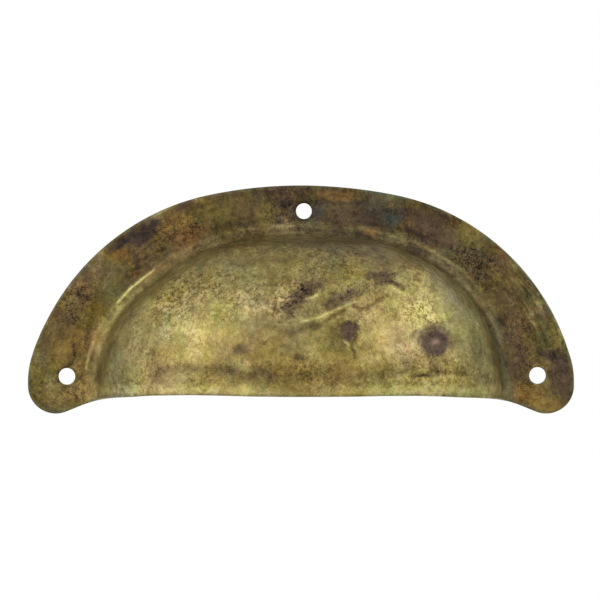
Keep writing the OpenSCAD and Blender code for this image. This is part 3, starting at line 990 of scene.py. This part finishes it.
DULL_AREAS = [
    (4, 21, 15, 4.6, -3, 0.2, 0.7),
    (-21.3, 28.4, 3, 2.4, 25, 0.25, 0.8),
    (-8.4, 29.6, 3, 3.4, 5, 0.22, 0.8),
    (8.6, 28.5, 5.6, 2.2, -5, 0.18, 0.8),
    (36.5, 15.6, 2.2, 3.4, 30, 0.1, 0.8),
    (42.9, 6.5, 2.4, 2.8, 0, 0.1, 0.8),
    (-21.3, 10.1, 2.8, 2.8, 0, 0.06, 0.8),
    (21, 28.4, 6, 2.2, -30, 0.14, 0.7),
    (17.6, 21.4, 3.4, 2.2, -30, 0.1, 0.8),
    (24.6, 2.2, 2.4, 1.6, 0, 0.1, 0.8),
    (-47, 3, 1.8, 4, 0, 0.12, 0.7),
    (-40.6, 7, 2.4, 2.4, 0, 0.08, 0.8),
    (-2, 6.6, 3.4, 2.6, 0, 0.08, 0.8),
    (-21, 0.6, 5, 3.4, 0, 0.07, 0.8),
    (-27, 25, 2.4, 1.6, 40, 0.1, 0.8),
    (2, 25, 16, 2.4, 0, 0.1, 0.7),
    (-17, 21, 4, 2.4, 30, 0.08, 0.7),
    (-20.4, 17.8, 2.6, 2, 30, 0.1, 0.7),
    (-26, 5, 2.6, 5.4, 0, 0.07, 0.8),
    (-15.5, 4, 4.4, 3.4, 0, 0.05, 0.8),
    (22.6, 4, 3, 3.4, 0, 0.1, 0.7),
    (-12, 1.4, 13, 4.2, 0, 0.03, 0.9),
    (3, -1, 9, 2.4, 0, 0.16, 0.9),
    (30.5, 8, 3.5, 8, 15, 0.16, 0.9),
    (10, 31, 16, 3.8, -6, 0.28, 0.7),
    (33, 22, 13, 4.6, -46, 0.12, 0.7),
    (-19, 27.6, 10, 3.6, 24, 0.12, 0.8),
    (-11, 25.2, 7, 1.2, 17, 0.14, 0.7),
    (22.6, 21.8, 5, 1.1, -38, 0.18, 0.7),
    (34, 12.6, 4, 1.5, -60, 0.1, 0.7),
    (37, 5, 6, 1.9, -80, 0.26, 0.7),
]
GRITTY_AREAS = [
    (-40.6, 13.4, 3.6, 2.6, 60, 1.5, 0.6),
    (-43, -3, 4.5, 3, 0, 1, 0.6),
    (-22.4, 25.6, 4, 2.6, 30, 1.1, 0.6),
    (0.5, 30, 5, 3.2, 0, 1.3, 0.5),
    (32, 20.2, 5, 2.6, -48, 1.5, 0.6),
    (40.6, 7, 7, 2.2, -76, 1.1, 0.6),
    (-22.5, 14, 5, 3.4, 30, 0.9, 0.7),
    (-13, 14.6, 5, 4, 0, 0.8, 0.7),
    (-1, 13.6, 6, 3.4, 35, 0.8, 0.6),
    (21.8, 11, 3.4, 2.4, 0, 1.5, 0.6),
    (13, 16.8, 6, 2.6, 10, 0.8, 0.6),
    (-16, 0.8, 12, 2, 0, 0.5, 0.7),
]
STREAKY_AREAS = [
    (43, 12.5, 12, 4.4, -62, 1, 0.6),
    (12, 26.6, 18, 4.2, -14, 0.5, 0.6),
    (-24, 26, 10, 5, 34, 0.5, 0.7),
    (-40, 4, 6, 12, -10, 0.4, 0.7),
]
# The tarnish is yellower in some parts and greyer in others
WARM_AREAS = [
    (-45, 8, 10, 7, 62, 1, 0.6),
    (-27, 27.6, 12, 4.4, 32, 1, 0.6),
    (-0.6, 0.2, 29, 4.8, 0, 1, 0.6),
    (3, 6.4, 8, 4, 0, 0.4, 0.8),
    (46, 10, 3, 2.6, 0, 0.8, 0.7),
    (-35.6, 19, 5.6, 4, 45, 1, 0.7),
    (-33.6, 12, 8, 2, 55, 0.7, 0.7),
    (-8, 30, 5, 3, 0, 0.6, 0.7),
]
COOL_AREAS = [
    (11, 27.6, 14, 6.6, -8, 1, 0.6),
    (26.6, 18.6, 5.6, 3, -45, 1, 0.7),
    (30.5, 10, 4, 8, 10, 0.5, 0.7),
    (44.6, -2.6, 4, 3.6, 0, 0.4, 0.7),
]
# How much brighter (or darker) the metal is just round each screw hole
HOLE_RINGS = [-0.2, 0.16, -0.34]
RING_FULL = 0.2
RING_END = 0.75

# How far each noise pushes the edges of stains and areas about: scale, reach and seed
DRIFTS = ((0.22, 2.4, 6.0), (0.9, 0.8, 7.0))
IN_THE_SHEET = (1, 0, 1)
WARM_CAST = (0.04, 0, -0.23)
COOL_CAST = (-0.06, 0, 0.22)
RIM_CAST = (-0.18, 0, 0.2)
LIP_SHADE_CAST = (-0.06, 0, 0.1)
PLAIN_CAST = (0.965, 1.0, 0.97)
# Streaks are noise laid out by distance in from the cup's root, and by the angle round the cup
# in radians times this
STREAK_STRETCH = 6.0


def face_material():
    """Brass in all states from rubbed bright to black, by place, wear and stain."""
    made, tree, place, inward = new_finish("aged_brass_face")
    margin = times(tree, measured(tree, "margin"), 1 / MM)
    wear_and_highlight = measured(tree, "wear_and_highlight")
    across, _, height = node(tree, "ShaderNodeSeparateXYZ", {0: place}).outputs

    # Mottling in three sizes, and the face's plane with its edges pushed about
    on_face = vector_maths(tree, "MULTIPLY", place, IN_THE_SHEET)
    flat = on_face
    for scale, reach, seed in DRIFTS:
        drift = noise(tree, place, scale, 2, 0.6, seed, colour=True)
        drift = vector_maths(tree, "SUBTRACT", drift, MIDDLE_GREY)
        flat = vector_maths(tree, "ADD", flat, vector_maths(tree, "SCALE", drift, Scale=reach))
    flat = vector_maths(tree, "MULTIPLY", flat, IN_THE_SHEET)
    patches = noise(tree, place, 0.22, 5, 0.95, 2.0, swirl=0.2)
    grain = noise(tree, place, 1.5, 2, 0.9, 3.0)
    mottling = minus(tree, patches, 0.5)
    ragged = times(tree, minus(tree, noise(tree, place, 0.8, 5, 1.0, 8.0), 0.5), 3.2)

    def area(spots, joined="MAXIMUM"):
        return spots_mask(tree, flat, ragged, spots, joined)

    # The parts of the pull: the cup, its lip, the line where it leaves the flange, and the fold
    on_cup = fade(tree, inward, -0.1, 2.6)
    # Painted highlight: the lip strip below the crease is painted lighter
    lip_highlight = times(tree, fade(tree, height, -0.9, -2.4), on_cup)
    # Painted highlight along the line where the cup leaves the flange
    root_highlight = bump_at(tree, inward, 0.0, 0.45)
    fold = bump_at(tree, inward, 1.3, 2.6)
    rim = times(tree, fade(tree, margin, 1.1, 0.1), minus(tree, 1.0, on_cup))
    # Painted shade: the lip is painted darker just inside its cut edge, with a cooler cast
    lip_edge_shade = times(tree, fade(tree, margin, 0.8, 0.35), on_cup)

    # Fine black pits, in some areas more than others
    gritty = fade(tree, noise(tree, place, 0.13, 2, 0.5, 9.0), 0.42, 0.6, 0.3, 1.3)
    gritty = times(tree, gritty, times_plus(tree, on_cup, 0.35, 0.65))
    gritty = plus(tree, gritty, area(GRITTY_AREAS))
    gritty = times(tree, gritty, times_plus(tree, fold, -0.7, 1.0))
    pitted = minus(tree, fade(tree, grain, 0.34, 0.6), 0.6)
    grit = times(tree, times(tree, pitted, 0.3), gritty)

    # Streaks that a cloth has drawn round the cup
    lifted = plus(tree, height, DOME_DROP)
    lifted = times(tree, lifted, ROOT_HALF_WIDTH / ROOT_HALF_HEIGHT)
    round_cup = times(tree, maths(tree, "ARCTAN2", lifted, across), STREAK_STRETCH)
    along = node(tree, "ShaderNodeCombineXYZ", {"X": round_cup, "Y": inward}).outputs[0]
    streaks = minus(tree, noise(tree, along, 0.8, 3, 0.8, 5.0, swirl=0.4), 0.5)
    streaks = times(tree, streaks, area(STREAKY_AREAS))
    streaks = times(tree, streaks, fade(tree, inward, 5.0, 2.0))

    # How bright the metal's colour is: each part's share of it, then areas, hole rings and cut edges;
    # mostly how clean it is, with painted highlights on the root line, the lip strip and the root marks,
    # and painted shade at the lip's edge
    brightness = summed(tree, 0.35, [
        (on_cup, 0.31),
        (lip_highlight, 0.2),
        (root_highlight, 0.06),
        (wear_and_highlight, 0.22),
        (mottling, 1.85),
        (times(tree, mottling, on_cup), -0.2),
        (streaks, 2.0),
        (grit, 0.8),
    ])
    brightness = plus(tree, brightness, area(RUBBED_AREAS, "ADD"))
    brightness = minus(tree, brightness, area(DULL_AREAS, "ADD"))
    for ((x, z), radius), amount in zip(HOLES, HOLE_RINGS):
        gap = vector_maths(tree, "DISTANCE", on_face, (x, 0, z), out=1)
        ring = fade(tree, gap, radius + RING_END, radius + RING_FULL)
        brightness = times_plus(tree, ring, amount, brightness)
    brightness = summed(tree, brightness, [(rim, 0.08), (lip_edge_shade, -0.13)])

    # Tarnish of one brightness still differs in hue, least in the fold and on the cup; the painted
    # shade at the lip's edge is cooler
    shift = hue_shift(tree, place, 0.13, 4.0, (1.2, 0.0, 2.6))
    calm_cup = times_plus(tree, on_cup, -0.4, 1.0)
    calm_fold = times_plus(tree, fold, -0.6, 1.0)
    shift = vector_maths(tree, "SCALE", shift, Scale=times(tree, calm_cup, calm_fold))
    for cast, share in (
        (WARM_CAST, area(WARM_AREAS)),
        (COOL_CAST, area(COOL_AREAS)),
        (RIM_CAST, rim),
        (LIP_SHADE_CAST, lip_edge_shade),
    ):
        shift = vector_maths(tree, "ADD", shift, vector_maths(tree, "SCALE", cast, Scale=share))
    shift = vector_maths(tree, "ADD", shift, PLAIN_CAST)
    colour = blend_colour(tree, 1.0, brass_colour(tree, brightness), shift, "MULTIPLY")

    # Stains share the metal's mottling, and are thin where it is rubbed and under the painted
    # highlights along the cup's root
    texture = summed(tree, 1.0, [(mottling, 3.9), (streaks, 4.0), (grit, 2.3), (wear_and_highlight, 0.4)])
    off_wear_and_highlight = fade(tree, wear_and_highlight, 0.5, 1.6, 1.0, 0.35)
    oxide = None
    for finish, spots in STAINS:
        shade = blend_colour(tree, 1.0, finish, texture, "MULTIPLY")
        mask = times(tree, area(spots), off_wear_and_highlight)
        colour = blend_colour(tree, mask, colour, shade)
        if finish in DARK_OXIDES:
            oxide = mask if oxide is None else maths(tree, "MAXIMUM", oxide, mask)
    even = times(tree, ragged, 0.3)
    worn_texture = times_plus(tree, wear_and_highlight, 2.4, texture)
    shade = blend_colour(tree, 0.7, SLATE, worn_texture, "MULTIPLY")
    colour = blend_colour(tree, spots_mask(tree, flat, even, ROUND_STAINS, "MAXIMUM"), colour, shade)

    relief = times_plus(tree, patches, 2.0, grain)
    relief = {"Height": relief, "Strength": 0.5, "Distance": 0.08 * MM}
    relief = node(tree, "ShaderNodeBump", relief).outputs[0]
    metallic = fade(tree, oxide, 0.2, 0.9, 0.6, 0.2)
    metal_skin(tree, colour, metallic, times_plus(tree, grain, 0.3, 0.33), Normal=relief)
    return made


def back_material():
    """The side nobody sees: never rubbed, so brown all over, a little cleaner where fingers pull."""
    made, tree, place, inward = new_finish("aged_brass_back")
    height = node(tree, "ShaderNodeSeparateXYZ", {0: place}).outputs["Z"]
    fingers = times(tree, fade(tree, height, 6.0, -2.0), fade(tree, inward, 2.0, 12.0))
    patches = noise(tree, place, 0.16, 5, 0.9, 12.0, swirl=0.3)
    grain = noise(tree, place, 1.3, 2, 0.9, 13.0)
    mottling = minus(tree, patches, 0.5)
    brightness = summed(tree, 0.34, [(fingers, 0.24), (mottling, 1.9), (minus(tree, grain, 0.5), 0.6)])
    shift = hue_shift(tree, place, 0.12, 14.0, (1.0, 0.0, 2.0))
    shift = vector_maths(tree, "ADD", shift, (1.0, 1.0, 0.95))
    colour = blend_colour(tree, 1.0, brass_colour(tree, brightness), shift, "MULTIPLY")
    metal_skin(tree, colour, 0.5, times_plus(tree, grain, 0.3, 0.4))
    return made


finishes = {"Face Finish": face_material(), "Back Finish": back_material()}
press = pull.modifiers.new("press", "NODES")
press.node_group = press_tree()
for item in press.node_group.interface.items_tree:
    if item.name in finishes:
        press[item.identifier] = finishes[item.name]
evaluated = pull.evaluated_get(bpy.context.evaluated_depsgraph_get())
pressed_mesh = bpy.data.meshes.new_from_object(evaluated)
pull.modifiers.remove(press)
pull.data = pressed_mesh
bpy.data.meshes.remove(blank_mesh)

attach(pull, "root")
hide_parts("cup_handle")

# The studio: a plain pale floor well below the pull, a white surround and two soft lamps. Floor
# and surround look white to the camera and in the metal, and light the pull at a plain level.
FLOOR_HALF = 14.0
FLOOR_LEVEL = -1.0
FLOOR_GLOW = 0.6
AMBIENT = 0.45


def seen(tree):
    """One for what the camera sees, also in metal or glass, and nought for light on a surface."""
    ray = node(tree, "ShaderNodeLightPath").outputs
    mirrored = maths(tree, "MAXIMUM", ray["Is Glossy Ray"], ray["Is Transmission Ray"])
    return maths(tree, "MAXIMUM", ray["Is Camera Ray"], mirrored)


floor_mesh = bpy.data.meshes.new("floor")
floor_corners = [
    (sx * FLOOR_HALF, sy * FLOOR_HALF, FLOOR_LEVEL) for sx, sy in ((-1, -1), (1, -1), (1, 1), (-1, 1))
]
floor_mesh.from_pydata(floor_corners, [], [(0, 1, 2, 3)])
floor = bpy.data.objects.new("floor", floor_mesh)
bpy.context.collection.objects.link(floor)
floor_finish = bpy.data.materials.new("pale_floor")
floor_finish.use_nodes = True
boards = floor_finish.node_tree
paint = boards.nodes["Principled BSDF"].inputs
paint["Base Color"].default_value = (0.88, 0.88, 0.88, 1)
paint["Roughness"].default_value = 0.9
paint["Specular IOR Level"].default_value = 0.2
paint["Emission Color"].default_value = (1, 1, 1, 1)
boards.links.new(times(boards, seen(boards), FLOOR_GLOW), paint["Emission Strength"])
floor_mesh.materials.append(floor_finish)

surround = bpy.data.worlds.new("white_surround")
surround.use_nodes = True
air = surround.node_tree
air.nodes.clear()
strength = times_plus(air, seen(air), 1.0 - AMBIENT, AMBIENT)
glow = node(air, "ShaderNodeBackground", {"Color": (1, 1, 1, 1), "Strength": strength}).outputs[0]
node(air, "ShaderNodeOutputWorld", {"Surface": glow})
bpy.context.scene.world = surround

LAMP_SIZE = 0.5
LAMP_POWER = 2.6
LAMP_DISTANCE = 0.7
CUP_MIDDLE = Vector((0, -0.008, 0.012))


def soft_lamp(name, azimuth, elevation):
    """A square soft lamp at an angle round the pull, facing the cup's middle."""
    light = bpy.data.lights.new(name, "AREA")
    light.shape = "SQUARE"
    light.size = LAMP_SIZE
    light.energy = LAMP_POWER
    lamp = bpy.data.objects.new(name, light)
    turn = math.radians(azimuth)
    lift = math.radians(elevation)
    back = Vector((math.sin(turn) * math.cos(lift), -math.cos(turn) * math.cos(lift), math.sin(lift)))
    lamp.location = CUP_MIDDLE + back * LAMP_DISTANCE
    lamp.rotation_euler = (-back).to_track_quat("-Z", "Y").to_euler()
    bpy.context.collection.objects.link(lamp)


soft_lamp("left_lamp", -38, 18)
soft_lamp("right_lamp", 48, 35)

# The camera looks square at the front, and its frame takes in this width at the door's face
VIEW_DISTANCE = 1.2
VIEW_X = -0.18 * MM
VIEW_Z = 13.81 * MM
FRAME_WIDTH = 0.10995
SENSOR_WIDTH = 36
camera_data = bpy.data.cameras.new("camera")
camera_data.sensor_width = SENSOR_WIDTH
camera_data.lens = SENSOR_WIDTH * VIEW_DISTANCE / FRAME_WIDTH
camera = bpy.data.objects.new("camera", camera_data)
camera.location = (VIEW_X, -VIEW_DISTANCE, VIEW_Z)
camera.rotation_euler = (math.radians(90), 0, 0)
bpy.context.collection.objects.link(camera)
bpy.context.scene.camera = camera
bpy.context.scene.view_settings.view_transform = "Standard"
